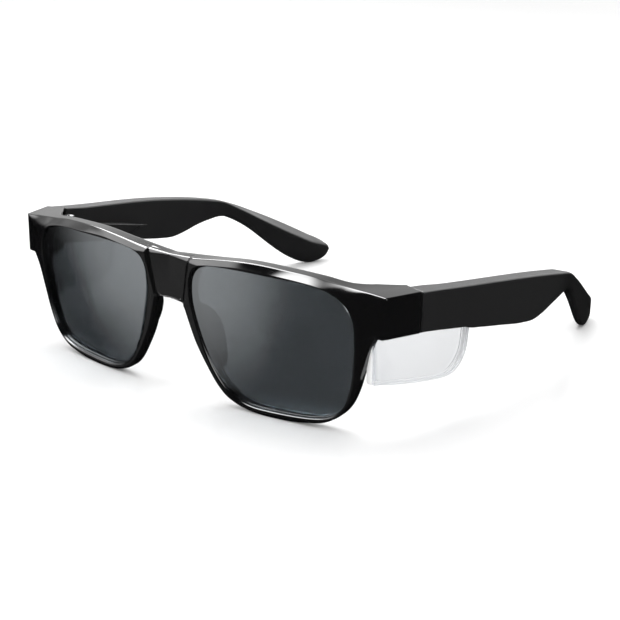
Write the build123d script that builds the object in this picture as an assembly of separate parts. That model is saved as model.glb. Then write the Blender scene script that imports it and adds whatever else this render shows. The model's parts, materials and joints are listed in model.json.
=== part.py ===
from build123d import *
import os

# Wrap-around safety glasses: a moulded front with two smoke lenses, two folding
# temples on five-knuckle hinges, and a clear side shield screwed into each temple.
# Millimetres, +Z up. The wearer looks along -Y and the wearer's left is +X.
# The glasses stand open on their rims and temple tips. The origin is on the table,
# midway between the sides, and midway between the front and the temple tips.

# ---- driving dimensions -------------------------------------------------------
front_half_width = 72.6      # outer front corner, half of the overall width
face_tilt = 7.0              # degrees that the lens plane leans forward at the top
face_shift = 2.64            # where the tilted face stands on the table, in Y
mid_depth = 78.83            # from the face's foot to the middle of the overall depth
wrap = [(0, -1.6), (20, -1.1), (40, 0.9), (56, 3.9), (76, 9.4)]  # face curve seen from above
rim_depth = 3.9              # rim, front to rear
rest_flat = 0.3              # how much the rim bottoms are flattened to stand

# Outlines in the upright face, (x, z). Arcs run through every three points.
rim_outer_edge = [(69.9, 31.8), (68.8, 29.6), (67.7, 27.3), (66.6, 24.5), (65.6, 21.2), (64.5, 17.8),
                  (63.2, 14.2), (61.7, 10.8), (60.0, 7.8), (57.9, 5.2), (55.3, 3.1), (52.1, 1.5),
                  (48.5, 0.5), (44.5, 0.0), (40, -rest_flat)]
rim_nose_edge = [(34, -rest_flat), (29.5, 0.0), (25.4, 0.9), (22.2, 2.1), (19.5, 3.7), (17.6, 5.4),
                 (15.9, 7.5), (14.2, 10.1), (12.5, 12.9), (10.7, 16.1), (9.1, 19.4), (7.7, 23.1),
                 (6.6, 26.6), (5.7, 29.2), (4.6, 30.9), (4.0, 31.5), (3.2, 31.8)]
lens_edge = [(9.25, 31), (8.9, 36), (9.5, 40.2), (11.7, 43.2), (15.8, 44.6), (22, 45.05), (30, 45.1),
             (38, 44.9), (46, 44.6), (52.3, 43.8), (57.6, 42), (61, 39), (62.8, 35), (63.3, 29.5), (62.9, 23),
             (61.9, 16), (60.1, 9.2), (58.1, 6.2), (55.2, 3.8), (51.2, 2.6), (46, 2.0), (38, 1.7), (30, 1.9),
             (25.5, 2.9), (21.6, 4.8), (18.6, 7.9), (15.8, 11.9), (13.2, 17.4), (11.1, 23.8), (10.0, 27.5)]

pad_outline = [(8.2, 27.5, 1.0), (5.9, 27.0, 1.0), (9.8, 15.5, 1.2), (14.8, 8.8, 1.2), (16.6, 10.6, 1.2),
               (11.6, 17.2, 1.0)]   # nose pad seen from the front: x, z, corner radius
pad_root = 0.5               # depth at which the pad leaves the rim
pad_depth = 8.5
pad_flare = (0.42, 1, 0.02)  # direction in which the pad runs back
facet_outline = [(8.6, 52), (5.8, 31), (-5.8, 31), (-8.6, 52)]   # facet at the front of the bridge
facet_depth = 0.75

lens_setback = 1.2           # lens face behind the rim's front
lens_thickness = 2.0
lens_bevel = 0.9             # how far the lens edge reaches into its groove

brow_rear = [(0, 1.7), (17, 2.0), (30, 2.7), (42, 4.7), (52, 7.6), (60, 10.6), (65, 15.6)]
brow_low = 40.0              # underside of the brow bar between rims and lugs
brow_height = 10.0           # tall enough to be cut by the brow line
brow_top = [(0, 44.8), (9, 45.2), (27, 47.4), (42, 47.1), (56, 45.3), (76.5, 43.4)]
brow_end_slope = 0.08
bevel_low = [(0, -5.4), (20, -5.9), (30, -4.5), (40, -4.7), (50, -3.6), (60, 1.4), (76, 4.6)]
bevel_high = [(0, -1.9), (20, -1.9), (30, -1.7), (40, 0.9), (50, 4.7), (60, 9.7), (76, 11.6)]
bevel_low_z, bevel_high_z = 41.0, 48.0   # heights at which the brow bevel's two curves are drawn

lug_under = 31.4             # underside of the end lugs
lug_front = 6.5              # where the lug's outer side begins
lug_height = 20.0            # tall enough to be cut by the brow line
lug_root = [(65, 15.6), (60, 10.6), (58, -5)]   # the lug's inner side, seen from above
seam_outer = (76.2, 19.0)    # lug and temple meet along this line, seen from above
seam_inner = (69.8, 20.9)
seam_gap = 0.15

pivot = (67.8, 20.4)         # left hinge axis, seen from above
barrel_radius = 1.9
screw_radius = 0.7
running_clearance = 0.05     # screw to temple knuckles, on the radius
pocket_clearance = 0.25      # barrel to the plastic round it
knuckle_height = 1.6
knuckle_gap = 0.1
knuckle_base = 33.0          # underside of the lowest knuckle
knuckle_count = 5
leaf_thickness = 1.2
leaf_length = 13.0
anchor_gap = 0.2             # pocket to the front leaf's anchor plate
plate_inset = 1.9            # temple leaf's plate behind the temple's inner face
web_start = 1.2              # the temple leaf's web, measured behind the hinge axis
screw_head = 1.0             # height of the hinge screw's head
head_radius = 1.5
driver_slot = (0.4, 0.8)     # width and depth

temple_outer = [(77.3, 38), (79.4, 58), (80.2, 78), (79.4, 98), (74.9, 118), (68.8, 138)]
temple_outer_end = (63.0, 162.5)
temple_inner = [(71.4, 38), (73.4, 58), (74.2, 78), (73.2, 98), (68.4, 118), (63.0, 138)]
temple_inner_end = (58.4, 160.5)
temple_end = (61.0, 163.0)   # rearmost point, seen from above
temple_top = [(16, 43.9), (38, 41.4), (58, 39.5), (78, 37.0), (98, 33.9), (112, 30.7), (128, 24.2),
              (145, 16.2)]
temple_tip_top = (161.5, 8.0)
temple_tip_rear = (161.6, 4.2)
temple_tip_low = (158.0, 1.6)
temple_under_rear = [(151, 0.0), (143.5, 3.4), (130, 13.4), (118, 22.0), (108, 25.7), (98, 25.3)]
heel = (84, 22.4)            # lowest point of the temple's front part
temple_under_front = [(78, 21.9), (60, 24.9)]
temple_step = (43.0, 28.2)   # small step where the shield leaves the temple
temple_under_hinge = (16, 31.5)

boss_side = [(19, 39.0), (40, 34.9), (52, 32.5), (62, 29.9), (57, 29.0), (46, 28.2), (19, 31.3)]
boss_inner = 69.6            # inner face of the shield boss
boss_root = 74.0             # the boss starts inside the temple
boss_plan = [(69.6, 24), (69.8, 46), (73.4, 62), (74, 24)]   # seen from above

shield_thickness = 1.5
shield_bead = 2.4            # thickness along the free edges
bead_width = 1.3
rib_width = 2.8              # wide rib along the shield's front edge
shield_upper = [(68.0, 11.6), (70.5, 16.5), (72.5, 24), (73.9, 36), (74.5, 49)]  # plan at z = 31
shield_lower = [(65.0, 10.8), (68.6, 16.5), (71.6, 24), (73.6, 36), (74.3, 49)]  # plan at z = 14
shield_upper_z, shield_lower_z = 31.0, 14.0
shield_front = 7.6           # front edge at the top
shield_front_foot = (10.2, 15.6)
shield_top = 30.9
tongue_top = 34.6            # the part of the shield inside the temple
bead_top = 30.5              # the bead ends here, below the tongue
tongue_front = 21.6
tongue_rear = (42, 31.8)
shield_rear_top = (48.4, 27.6)
shield_rear_foot = (47.6, 12.6)
shield_foot_middle = (34, 13.3)
shield_heel_radius = 10.0
slot_clearance = 0.1
shield_screw_places = [(28.0, 32.6), (39.0, 31.2)]   # (y, z) of the two shield screws
shield_screw_radius = 0.6
shield_screw_head = 1.1
shield_head_height = 0.8
shield_driver_slot = (0.7, 0.35, 3)
shield_screw_tip = 76.0

FAR = 60.0                   # larger than any section that is cut


# ---- helpers --------------------------------------------------------------------
def mirrored_points(half):
    """Points for both sides of x = 0 from the points of the +X side."""
    return [(-x, y) for x, y in reversed(half) if x > 0] + list(half)


def rounded_polygon(corners):
    """Face from (x, y, radius) corners; a radius of 0 keeps the corner sharp."""
    points = [(x, y) for x, y, _ in corners]
    face = make_face(Polyline(*points, close=True))
    for x, y, radius in corners:
        if radius > 0:
            corner = face.vertices().sort_by_distance((x, y, 0))[0]
            face = fillet(corner, radius)
    return face


def arcs(points):
    """Edges through the points, one arc for every three."""
    return [ThreePointArc(*points[first:first + 3]) for first in range(0, len(points) - 2, 2)]


def mirror_x(shape):
    return mirror(shape, about=Plane.YZ)


face_frame = Pos(0, face_shift, 0) * Rot(face_tilt, 0, 0)


def face_prism(face, y_low=-20, y_high=FAR):
    """Extrudes a face drawn in (x, z) along the lens plane's normal."""
    upright = Plane.XZ * face
    return face_frame * Pos(0, y_high, 0) * extrude(upright, y_high - y_low, dir=(0, -1, 0))


def behind_wrap(offset):
    """Everything behind the wrap curve moved back by offset, leaning with the face."""
    curve = Spline(*mirrored_points(wrap))
    edge = wrap[-1]
    back = Polyline(edge, (edge[0], FAR), (-edge[0], FAR), (-edge[0], edge[1]))
    prism = extrude(make_face([curve, *back.edges()]), FAR + 20)
    return face_frame * Pos(0, offset, -10) * prism


# ---- front --------------------------------------------------------------------------
def lens_outline(grow=0.0):
    face = make_face(arcs(lens_edge + lens_edge[:1]))
    return offset(face, grow) if grow else face


def rim_outline():
    """Outline of both rims; the brow line and the lugs' ends are cut later."""
    top = 52
    lug_x, lug_z = rim_outer_edge[0]
    start = (0, rim_nose_edge[-1][1])
    above = Polyline(start, (0, top), (front_half_width, top), (front_half_width, lug_z), (lug_x, lug_z))
    flat = Line(rim_outer_edge[-1], rim_nose_edge[0])
    arch = Line(rim_nose_edge[-1], start)
    half = make_face([*above.edges(), *arcs(rim_outer_edge), flat, *arcs(rim_nose_edge), arch])
    return half + mirror_x(half)


def top_cutter():
    """Everything above the brow line."""
    curve = Spline(*mirrored_points(brow_top), tangents=[(1, brow_end_slope), (1, -brow_end_slope)])
    end_x, end_z = brow_top[-1]
    lid = Polyline((end_x, end_z), (end_x, FAR + 10), (-end_x, FAR + 10), (-end_x, end_z))
    above = Plane.XZ * make_face([curve, *lid.edges()])
    return Pos(0, FAR, 0) * extrude(above, 2 * FAR, dir=(0, -1, 0))


def bevel_cutter():
    """Everything in front of the brow bevel, a band that leans back to the top edge."""
    faces = []
    for points, z in ((bevel_low, bevel_low_z), (bevel_high, bevel_high_z)):
        curve = Spline(*mirrored_points(points))
        end_x, end_y = points[-1]
        front = Polyline((end_x, end_y), (end_x, -FAR), (-end_x, -FAR), (-end_x, end_y))
        faces.append(Pos(0, 0, z) * make_face([curve, *front.edges()]))
    return loft(faces, ruled=True)


def brow_bar():
    """The level bar above the lenses."""
    rear = Spline(*mirrored_points(brow_rear))
    end_x, end_y = brow_rear[-1]
    front = Polyline((end_x, end_y), (end_x, -FAR), (-end_x, -FAR), (-end_x, end_y))
    return Pos(0, 0, brow_low) * extrude(make_face([rear, *front.edges()]), brow_height)


def lug():
    """The left end lug that reaches back to the hinge seam."""
    foremost = lug_root[-1]
    outline = Polyline(foremost, (front_half_width, foremost[1]), (front_half_width, lug_front), seam_outer,
                       seam_inner, *lug_root)
    return Pos(0, 0, lug_under) * extrude(make_face(outline.edges()), lug_height)


def nose_pad():
    """The left moulded nose pad, a blade that runs back and outwards from the rim."""
    root = Pos(0, pad_root, 0) * (Plane.XZ * rounded_polygon(pad_outline))
    return face_frame * extrude(root, pad_depth, dir=pad_flare)


def bridge_recess():
    """The shallow facet at the front of the bridge."""
    facet = make_face(Polyline(*facet_outline, close=True))
    return face_prism(facet, -FAR, wrap[0][1] + facet_depth)


def table():
    return Pos(0, FAR, -10) * Box(4 * FAR, 6 * FAR, 20)


def front_frame():
    bar = brow_bar() + lug() + mirror_x(lug())
    rims = face_prism(rim_outline()) - behind_wrap(rim_depth)
    pads = nose_pad() + mirror_x(nose_pad())
    body = (rims + bar) & behind_wrap(0)
    body = body - top_cutter() - bevel_cutter() - bridge_recess() + pads
    for side in (lambda shape: shape, mirror_x):
        body -= side(face_prism(lens_outline()))
        body -= side(lens())
        body -= side(hinge_pocket())
        body -= side(front_leaf())
    return body - table()


def lens():
    shell = behind_wrap(lens_setback) - behind_wrap(lens_setback + lens_thickness)
    return face_prism(lens_outline(lens_bevel)) & shell


# ---- hinges -------------------------------------------------------------------------
knuckle_pitch = knuckle_height + knuckle_gap
barrel_top = knuckle_base + knuckle_count * knuckle_pitch - knuckle_gap


def hinge_cylinder(radius, z_low, z_high):
    return Pos(pivot[0], pivot[1], (z_low + z_high) / 2) * Cylinder(radius, z_high - z_low)


def hinge_pocket():
    """Room for the barrel, open below so that the screw can be driven."""
    return hinge_cylinder(barrel_radius + pocket_clearance, lug_under - 4, barrel_top + pocket_clearance)


def knuckles(first, bore_radius):
    """Every second knuckle of the barrel, starting with number first."""
    barrel = Part()
    for number in range(first, knuckle_count, 2):
        low = knuckle_base + number * knuckle_pitch
        barrel += hinge_cylinder(barrel_radius, low, low + knuckle_height)
    return barrel - hinge_cylinder(bore_radius, 0, FAR)


def leaf_plate(first, plate):
    """Cuts a plate into one tab behind each of the knuckles that start with number first."""
    tabs = Part()
    for number in range(first, knuckle_count, 2):
        low = knuckle_base + number * knuckle_pitch
        tabs += Pos(pivot[0], pivot[1], low + knuckle_height / 2) * Box(FAR, FAR, knuckle_height)
    return plate & tabs


def front_leaf():
    """Steel leaf moulded into the lug: three knuckles and their anchor plate."""
    low, high = knuckle_base, barrel_top
    y_low = pivot[1] - leaf_length
    anchor_rear = pivot[1] - barrel_radius - pocket_clearance - anchor_gap
    tab_front = anchor_rear - leaf_thickness
    middle = (low + high) / 2
    anchor = Pos(pivot[0], (y_low + anchor_rear) / 2, middle) * Box(
        leaf_thickness, anchor_rear - y_low, high - low)
    tab = Pos(pivot[0], (tab_front + pivot[1]) / 2, middle) * Box(
        leaf_thickness, pivot[1] - tab_front, high - low)
    leaf = anchor + (leaf_plate(0, tab) - hinge_cylinder(screw_radius, 0, FAR))
    return leaf + knuckles(0, screw_radius)


def temple_leaf():
    """Steel leaf let into the temple: two knuckles, a cranked web and an anchor plate."""
    low = knuckle_base + knuckle_pitch
    high = barrel_top - knuckle_pitch
    plate_inner = seam_inner[0] + plate_inset
    plate_outer = plate_inner + leaf_thickness
    start = pivot[1] + web_start
    web_rear = start + 3 * leaf_thickness
    web = Polyline((pivot[0] - leaf_thickness / 2, pivot[1] + barrel_radius / 2),
                   (pivot[0] + barrel_radius / 2, pivot[1]), (plate_outer, start + leaf_thickness),
                   (plate_outer, web_rear), (plate_inner, web_rear),
                   (plate_inner, start + 2 * leaf_thickness), close=True)
    web_solid = Pos(0, 0, low) * extrude(make_face(web.edges()), high - low)
    anchor_middle = web_rear + (leaf_length - leaf_thickness) / 2
    anchor = Pos((plate_inner + plate_outer) / 2, anchor_middle, (low + high) / 2) * Box(
        leaf_thickness, leaf_length, high - low)
    cranked = leaf_plate(1, web_solid) - hinge_cylinder(screw_radius + running_clearance, 0, FAR)
    return anchor + cranked + knuckles(1, screw_radius + running_clearance)


def hinge_screw():
    """Slotted screw, driven from below and threaded into the top knuckle."""
    head_top = knuckle_base
    shank = hinge_cylinder(screw_radius, head_top - screw_head, barrel_top)
    head = hinge_cylinder(head_radius, head_top - screw_head, head_top)
    slot_width, slot_depth = driver_slot
    slot = Pos(pivot[0], pivot[1], head_top - screw_head) * Box(3 * head_radius, slot_width, slot_depth)
    return shank + head - slot


# ---- temples ------------------------------------------------------------------------
def temple_plan():
    outer = Spline(seam_outer, *temple_outer, temple_outer_end)
    inner = Spline(seam_inner, *temple_inner, temple_inner_end)
    tip = ThreePointArc(temple_outer_end, temple_end, temple_inner_end)
    seam = Line(seam_inner, seam_outer)
    return make_face([outer, tip, *inner.edges(), seam])


def temple_side():
    """Outline seen from the side, drawn in (y, z)."""
    top = Spline(*temple_top, temple_tip_top)
    tip = ThreePointArc(temple_tip_top, temple_tip_rear, temple_tip_low)
    rear = Spline(temple_tip_low, *temple_under_rear, heel)
    front = Spline(heel, *temple_under_front, temple_step)
    hinge_end = Polyline(temple_step, temple_under_hinge, temple_top[0])
    return make_face([*top.edges(), tip, *rear.edges(), *front.edges(), *hinge_end.edges()])


def sheet(thickness):
    """The shield's curved sheet, wider than the shield in every direction."""
    faces = []
    for points, z in ((shield_lower, shield_lower_z), (shield_upper, shield_upper_z)):
        half = thickness / 2
        outer = Spline(*[(x + half, y) for x, y in points])
        inner = Spline(*[(x - half, y) for x, y in points])
        ends = [Line(outer @ 0, inner @ 0), Line(outer @ 1, inner @ 1)]
        faces.append(Pos(0, 0, z) * make_face([outer, inner, *ends]))
    lower, upper = faces
    body = loft([lower, upper], ruled=True)
    above = extrude(upper, tongue_top - shield_lower_z, dir=(0, 0, 1))
    return body + above


def shield_side(inset=0.0, rib=0.0):
    """Shield outline in (y, z); inset leaves the free edges, rib the front edge."""
    foot_y, foot_z = shield_front_foot
    corners = [(shield_front + rib, shield_top, 0), (tongue_front, shield_top, 0),
               (tongue_front, tongue_top, 0), (*tongue_rear, 2),
               (shield_rear_top[0] - inset, shield_rear_top[1], 0),
               (shield_rear_foot[0] - inset, shield_rear_foot[1] + inset, shield_heel_radius),
               (shield_foot_middle[0], shield_foot_middle[1] + inset, 0),
               (foot_y + rib, foot_z + inset, 0)]
    return rounded_polygon(corners)


def yz_prism(face, x_low=55, x_high=90):
    return Pos(x_low, 0, 0) * extrude(Plane.YZ * face, x_high - x_low)


def side_shield():
    """Clear shield: a thin sheet with beaded free edges and a wide front rib."""
    outline = shield_side()
    bead_zone = outline - shield_side(bead_width, rib_width)
    bead = sheet(shield_bead) & yz_prism(bead_zone) & bead_band()
    plate = sheet(shield_thickness) & yz_prism(outline)
    body = plate + bead
    return body - shield_screw_shafts()


def shield_slot():
    """The slot in the temple's underside that holds the shield's tongue and clears its bead."""
    slot = sheet(shield_thickness + 2 * slot_clearance)
    mouth = sheet(shield_bead + 2 * slot_clearance) & bead_band()
    return (slot + mouth) & yz_prism(shield_side())


def bead_band():
    """Everything low enough to carry the shield's bead."""
    return Pos(0, 0, bead_top - FAR) * Box(4 * FAR, 4 * FAR, 2 * FAR)


def shield_screw_shafts():
    shafts = Part()
    for y, z in shield_screw_places:
        shaft = Pos((boss_inner + shield_screw_tip) / 2, y, z) * Rot(0, 90, 0) * Cylinder(
            shield_screw_radius, shield_screw_tip - boss_inner)
        shafts += shaft
    return shafts


def shield_screws():
    """Two sunk screws that clamp the shield's tongue in the temple."""
    screws = shield_screw_shafts()
    for y, z in shield_screw_places:
        head_middle = boss_inner + shield_head_height / 2
        head = Pos(head_middle, y, z) * Rot(0, 90, 0) * Cylinder(shield_screw_head, shield_head_height)
        slot = Pos(boss_inner, y, z) * Box(*shield_driver_slot)
        screws += head
        screws -= slot
    return screws


def temple():
    plan = extrude(temple_plan(), FAR)
    body = plan & yz_prism(temple_side())
    boss_face = make_face(Polyline(*boss_side, close=True).edges())
    boss_reach = make_face(Polyline(*boss_plan, close=True).edges())
    boss = yz_prism(boss_face, boss_inner, boss_root) & extrude(boss_reach, FAR)
    body = body + boss
    gap = Pos(0, seam_gap, 0) * lug_seam_side()
    body = body - gap - shield_slot() - hinge_pocket() - temple_leaf() - shield_screws()
    return body - table()


def lug_seam_side():
    """Everything on the lug's side of the seam."""
    (outer_x, outer_y), (inner_x, inner_y) = seam_outer, seam_inner
    slope = (outer_y - inner_y) / (outer_x - inner_x)
    edge = [(x, outer_y + slope * (x - outer_x)) for x in (50, 90)]
    outline = Polyline(edge[0], edge[1], (90, -10), (50, -10), close=True)
    return extrude(make_face(outline.edges()), FAR)


# ---- assembly ---------------------------------------------------------------------
left_parts = {
    "lens": lens(),
    "temple": temple(),
    "side_shield": side_shield(),
    "hinge_front_leaf": front_leaf(),
    "hinge_temple_leaf": temple_leaf(),
    "hinge_screw": hinge_screw(),
    "shield_screws": shield_screws(),
}
parts = {"front_frame": front_frame()}
for name, shape in left_parts.items():
    parts[name + "_left"] = shape
    parts[name + "_right"] = mirror_x(shape)

os.makedirs("parts", exist_ok=True)
for name, shape in parts.items():
    placed = Pos(0, -mid_depth, 0) * shape
    export_step(placed, f"parts/{name}.step")
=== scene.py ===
import json
import math
import bmesh
import bpy
import numpy as np
from mathutils import Matrix, Vector

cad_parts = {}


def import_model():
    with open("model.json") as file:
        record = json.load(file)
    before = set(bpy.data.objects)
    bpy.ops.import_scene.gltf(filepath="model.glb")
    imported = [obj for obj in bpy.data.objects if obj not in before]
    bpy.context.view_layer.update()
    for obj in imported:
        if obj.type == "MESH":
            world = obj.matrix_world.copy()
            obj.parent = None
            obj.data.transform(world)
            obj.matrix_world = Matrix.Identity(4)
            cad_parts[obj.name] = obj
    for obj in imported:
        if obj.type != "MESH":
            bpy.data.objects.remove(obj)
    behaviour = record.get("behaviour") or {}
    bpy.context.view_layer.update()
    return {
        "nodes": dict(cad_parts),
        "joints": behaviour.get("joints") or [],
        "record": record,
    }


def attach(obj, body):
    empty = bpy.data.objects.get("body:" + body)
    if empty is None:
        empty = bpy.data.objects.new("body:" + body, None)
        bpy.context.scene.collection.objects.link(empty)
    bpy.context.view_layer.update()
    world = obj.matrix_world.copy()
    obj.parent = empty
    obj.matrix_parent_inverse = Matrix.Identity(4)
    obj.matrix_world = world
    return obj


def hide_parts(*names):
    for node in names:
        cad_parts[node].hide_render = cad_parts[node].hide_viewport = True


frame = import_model()

# Safety glasses on a pale table. Metres, in the CAD's own frame: the wearer looks
# along -Y, +X is the wearer's left, and z = 0 is the table.

MM = 0.001

# Colours of the materials, as the two ends between which their patches vary.
FRONT_TINTS = ((0.0035, 0.0035, 0.0037), (0.0050, 0.0050, 0.0053))
FRONT_WORN = (0.02, 0.02, 0.021)
TEMPLE_TINTS = ((0.0085, 0.0085, 0.009), (0.0125, 0.0125, 0.013))
TEMPLE_WORN = (0.07, 0.07, 0.072)
SMOKE_TINTS = ((0.47, 0.50, 0.52), (0.50, 0.53, 0.55))
SMOKE_BODY = (0.012, 0.014, 0.016)
SMOKE_MIRROR = (0.93, 0.97, 1.0)
CLEAR_TINTS = ((0.845, 0.85, 0.857), (0.865, 0.87, 0.877))
# painted highlight for the shield's edges: white where square to the sheet, grey-blue painted reflection
# where partly tilted
CLEAR_EDGE_PAINTED_HIGHLIGHT = ((1.0, 1.0, 1.0), (0.55, 0.58, 0.63))
LEAF_STEEL = (0.55, 0.55, 0.56)
SCREW_STEEL = (0.7, 0.7, 0.72)
TABLE_WHITE = (0.93, 0.93, 0.93)

LENS_REFLECTION = 0.60        # share of light that the hard coat mirrors, seen straight on
SHIELD_REFLECTION = 0.05
LENS_BODY_SHARE = 0.12        # share of the lens tint that is milky rather than see-through
PLASTIC_IOR = 1.5
# Noise is brightest and darkest rarely, so its middle range is stretched to the full range.
NOISE_RANGE = (0.3, 0.7)


# ---- material helpers --------------------------------------------------------------
def new_material(name):
    """Empty node material; returns it with its tree and output node."""
    material = bpy.data.materials.new(name)
    material.use_nodes = True
    tree = material.node_tree
    tree.nodes.clear()
    output = tree.nodes.new("ShaderNodeOutputMaterial")
    return material, tree, output


def node(tree, kind, inputs=None, **settings):
    """Adds a node; inputs maps socket names to values or to other nodes' sockets."""
    made = tree.nodes.new(kind)
    for key, value in settings.items():
        setattr(made, key, value)
    for key, value in (inputs or {}).items():
        if isinstance(value, bpy.types.NodeSocket):
            tree.links.new(value, made.inputs[key])
        else:
            made.inputs[key].default_value = value
    return made


def noise(tree, scale, detail=4.0, roughness=0.55, stretch=(1, 1, 1)):
    """Noise fixed to the object; scale counts blobs in a metre."""
    place = node(tree, "ShaderNodeTexCoord")
    mapping = node(tree, "ShaderNodeMapping", {"Vector": place.outputs["Object"], "Scale": stretch})
    made = node(tree, "ShaderNodeTexNoise", {"Vector": mapping.outputs["Vector"], "Scale": scale,
                                             "Detail": detail, "Roughness": roughness})
    return made.outputs["Fac"]


def between(tree, factor, low, high, start=0.0, end=1.0):
    """low where factor is start, high where it is end, and a straight blend between."""
    made = node(tree, "ShaderNodeMapRange", {"Value": factor, "From Min": start, "From Max": end,
                                             "To Min": low, "To Max": high})
    return made.outputs["Result"]


def opaque(colour):
    return (*colour, 1)


def blend_colour(tree, factor, first, second):
    """Colour between two, each a tuple or another node's socket."""
    ends = [end if isinstance(end, bpy.types.NodeSocket) else opaque(end) for end in (first, second)]
    made = node(tree, "ShaderNodeMix", {"Factor": factor, "A": ends[0], "B": ends[1]}, data_type="RGBA")
    return made.outputs["Result"]


def math_node(tree, operation, *values):
    made = node(tree, "ShaderNodeMath", dict(enumerate(values)), operation=operation)
    return made.outputs["Value"]


def mix_shaders(tree, share, first, second):
    """share 0 gives the first shader and 1 the second."""
    made = node(tree, "ShaderNodeMixShader", {0: share, 1: first, 2: second})
    return made.outputs["Shader"]


def edge_mask(tree, radius, sharpness=6.0):
    """1 along edges, 0 on flat faces."""
    softened = node(tree, "ShaderNodeBevel", {"Radius": radius}, samples=6)
    flat = node(tree, "ShaderNodeNewGeometry")
    dot = node(tree, "ShaderNodeVectorMath", {0: softened.outputs["Normal"], 1: flat.outputs["Normal"]},
               operation="DOT_PRODUCT")
    return between(tree, dot.outputs["Value"], 1.0, 0.0, 1.0 - 1.0 / sharpness, 1.0)


def bump(tree, height, strength, distance):
    inputs = {"Height": height, "Strength": strength, "Distance": distance}
    return node(tree, "ShaderNodeBump", inputs).outputs["Normal"]


def surface_reflection(tree, straight_on, normal):
    """Share of light that a clear surface reflects, from either side."""
    facing = node(tree, "ShaderNodeLayerWeight", {"Blend": 0.5, "Normal": normal}).outputs["Facing"]
    steep = math_node(tree, "POWER", facing, 5.0)
    return between(tree, steep, straight_on, 1.0)


# ---- materials ------------------------------------------------------------------------
def gloss_black():
    """Polished black nylon: faint haze, fine handling marks and slightly worn edges."""
    material, tree, output = new_material("gloss_black_nylon")
    haze = noise(tree, scale=90, detail=5)
    marks = noise(tree, scale=900, detail=3, roughness=0.6, stretch=(1, 1, 0.25))
    wear = between(tree, edge_mask(tree, 0.35 * MM), 0, 0.25)
    colour = blend_colour(tree, wear, blend_colour(tree, haze, *FRONT_TINTS), FRONT_WORN)
    haze_roughness = between(tree, haze, 0.07, 0.14, *NOISE_RANGE)
    mark_roughness = between(tree, marks, 0.0, 0.05, 0.45, 0.75)
    orange_peel = bump(tree, noise(tree, scale=260, detail=2), 0.05, 0.05 * MM)
    shader = node(tree, "ShaderNodeBsdfPrincipled", {
        "Base Color": colour, "Roughness": math_node(tree, "ADD", haze_roughness, mark_roughness),
        "IOR": PLASTIC_IOR, "Normal": orange_peel, "Coat Weight": 0.12, "Coat Roughness": 0.05})
    tree.links.new(shader.outputs["BSDF"], output.inputs["Surface"])
    return material


def satin_black():
    """Satin black nylon with a fine moulded grain."""
    material, tree, output = new_material("satin_black_nylon")
    grain = noise(tree, scale=2600, detail=3, roughness=0.6)
    patches = noise(tree, scale=55)
    wear = between(tree, edge_mask(tree, 0.4 * MM), 0, 0.3)
    colour = blend_colour(tree, wear, blend_colour(tree, patches, *TEMPLE_TINTS), TEMPLE_WORN)
    patch_roughness = between(tree, patches, 0.30, 0.38, *NOISE_RANGE)
    grain_roughness = between(tree, grain, -0.03, 0.05, *NOISE_RANGE)
    shader = node(tree, "ShaderNodeBsdfPrincipled", {
        "Base Color": colour, "Roughness": math_node(tree, "ADD", patch_roughness, grain_roughness),
        "IOR": PLASTIC_IOR, "Normal": bump(tree, grain, 0.12, 0.02 * MM)})
    tree.links.new(shader.outputs["BSDF"], output.inputs["Surface"])
    return material


def smoke_lens():
    """Smoke polycarbonate with a hard coat: tinted see-through plus a clear reflection."""
    material, tree, output = new_material("smoke_polycarbonate")
    smudge = noise(tree, scale=45, roughness=0.6)
    tint = node(tree, "ShaderNodeBsdfTransparent", {"Color": blend_colour(tree, smudge, *SMOKE_TINTS)})
    surface = bump(tree, noise(tree, scale=30, detail=1), 0.01, 0.05 * MM)
    gloss = node(tree, "ShaderNodeBsdfGlossy", {
        "Color": opaque(SMOKE_MIRROR), "Normal": surface,
        "Roughness": between(tree, smudge, 0.10, 0.17, *NOISE_RANGE)})
    body = node(tree, "ShaderNodeBsdfDiffuse", {"Color": opaque(SMOKE_BODY)})
    inner = mix_shaders(tree, LENS_BODY_SHARE, tint.outputs["BSDF"], body.outputs["BSDF"])
    reflection = surface_reflection(tree, LENS_REFLECTION, surface)
    shader = mix_shaders(tree, reflection, inner, gloss.outputs["BSDF"])
    tree.links.new(shader, output.inputs["Surface"])
    return material


def clear_shield():
    """Clear polycarbonate; its edges, which face along Y or Z, carry a painted highlight: white where they
    are square to the sheet, grey-blue painted reflection where partly tilted.
    """
    material, tree, output = new_material("clear_polycarbonate")
    smudge = noise(tree, scale=70)
    surface = bump(tree, noise(tree, scale=120, detail=2), 0.02, 0.05 * MM)
    tint = node(tree, "ShaderNodeBsdfTransparent", {"Color": blend_colour(tree, smudge, *CLEAR_TINTS)})
    gloss = node(tree, "ShaderNodeBsdfGlossy", {
        "Color": (1, 1, 1, 1), "Normal": surface,
        "Roughness": between(tree, smudge, 0.03, 0.09, *NOISE_RANGE)})
    reflection = surface_reflection(tree, SHIELD_REFLECTION, surface)
    sheet = mix_shaders(tree, reflection, tint.outputs["BSDF"], gloss.outputs["BSDF"])
    # painted highlight: a white diffuse colour over faces that turn away from X, with grey-blue painted
    # reflection on partly tilted faces
    own_normal = node(tree, "ShaderNodeTexCoord").outputs["Normal"]
    sideways = node(tree, "ShaderNodeSeparateXYZ", {"Vector": own_normal}).outputs["X"]
    flatness = math_node(tree, "ABSOLUTE", sideways)
    edge = between(tree, flatness, 0.85, 0.0, 0.35, 0.93)
    depth = between(tree, flatness, 0.0, 1.0, 0.35, 0.75)
    glow = node(tree, "ShaderNodeBsdfDiffuse", {"Color": blend_colour(tree, depth, *CLEAR_EDGE_PAINTED_HIGHLIGHT)})
    tree.links.new(mix_shaders(tree, edge, sheet, glow.outputs["BSDF"]), output.inputs["Surface"])
    return material


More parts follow.
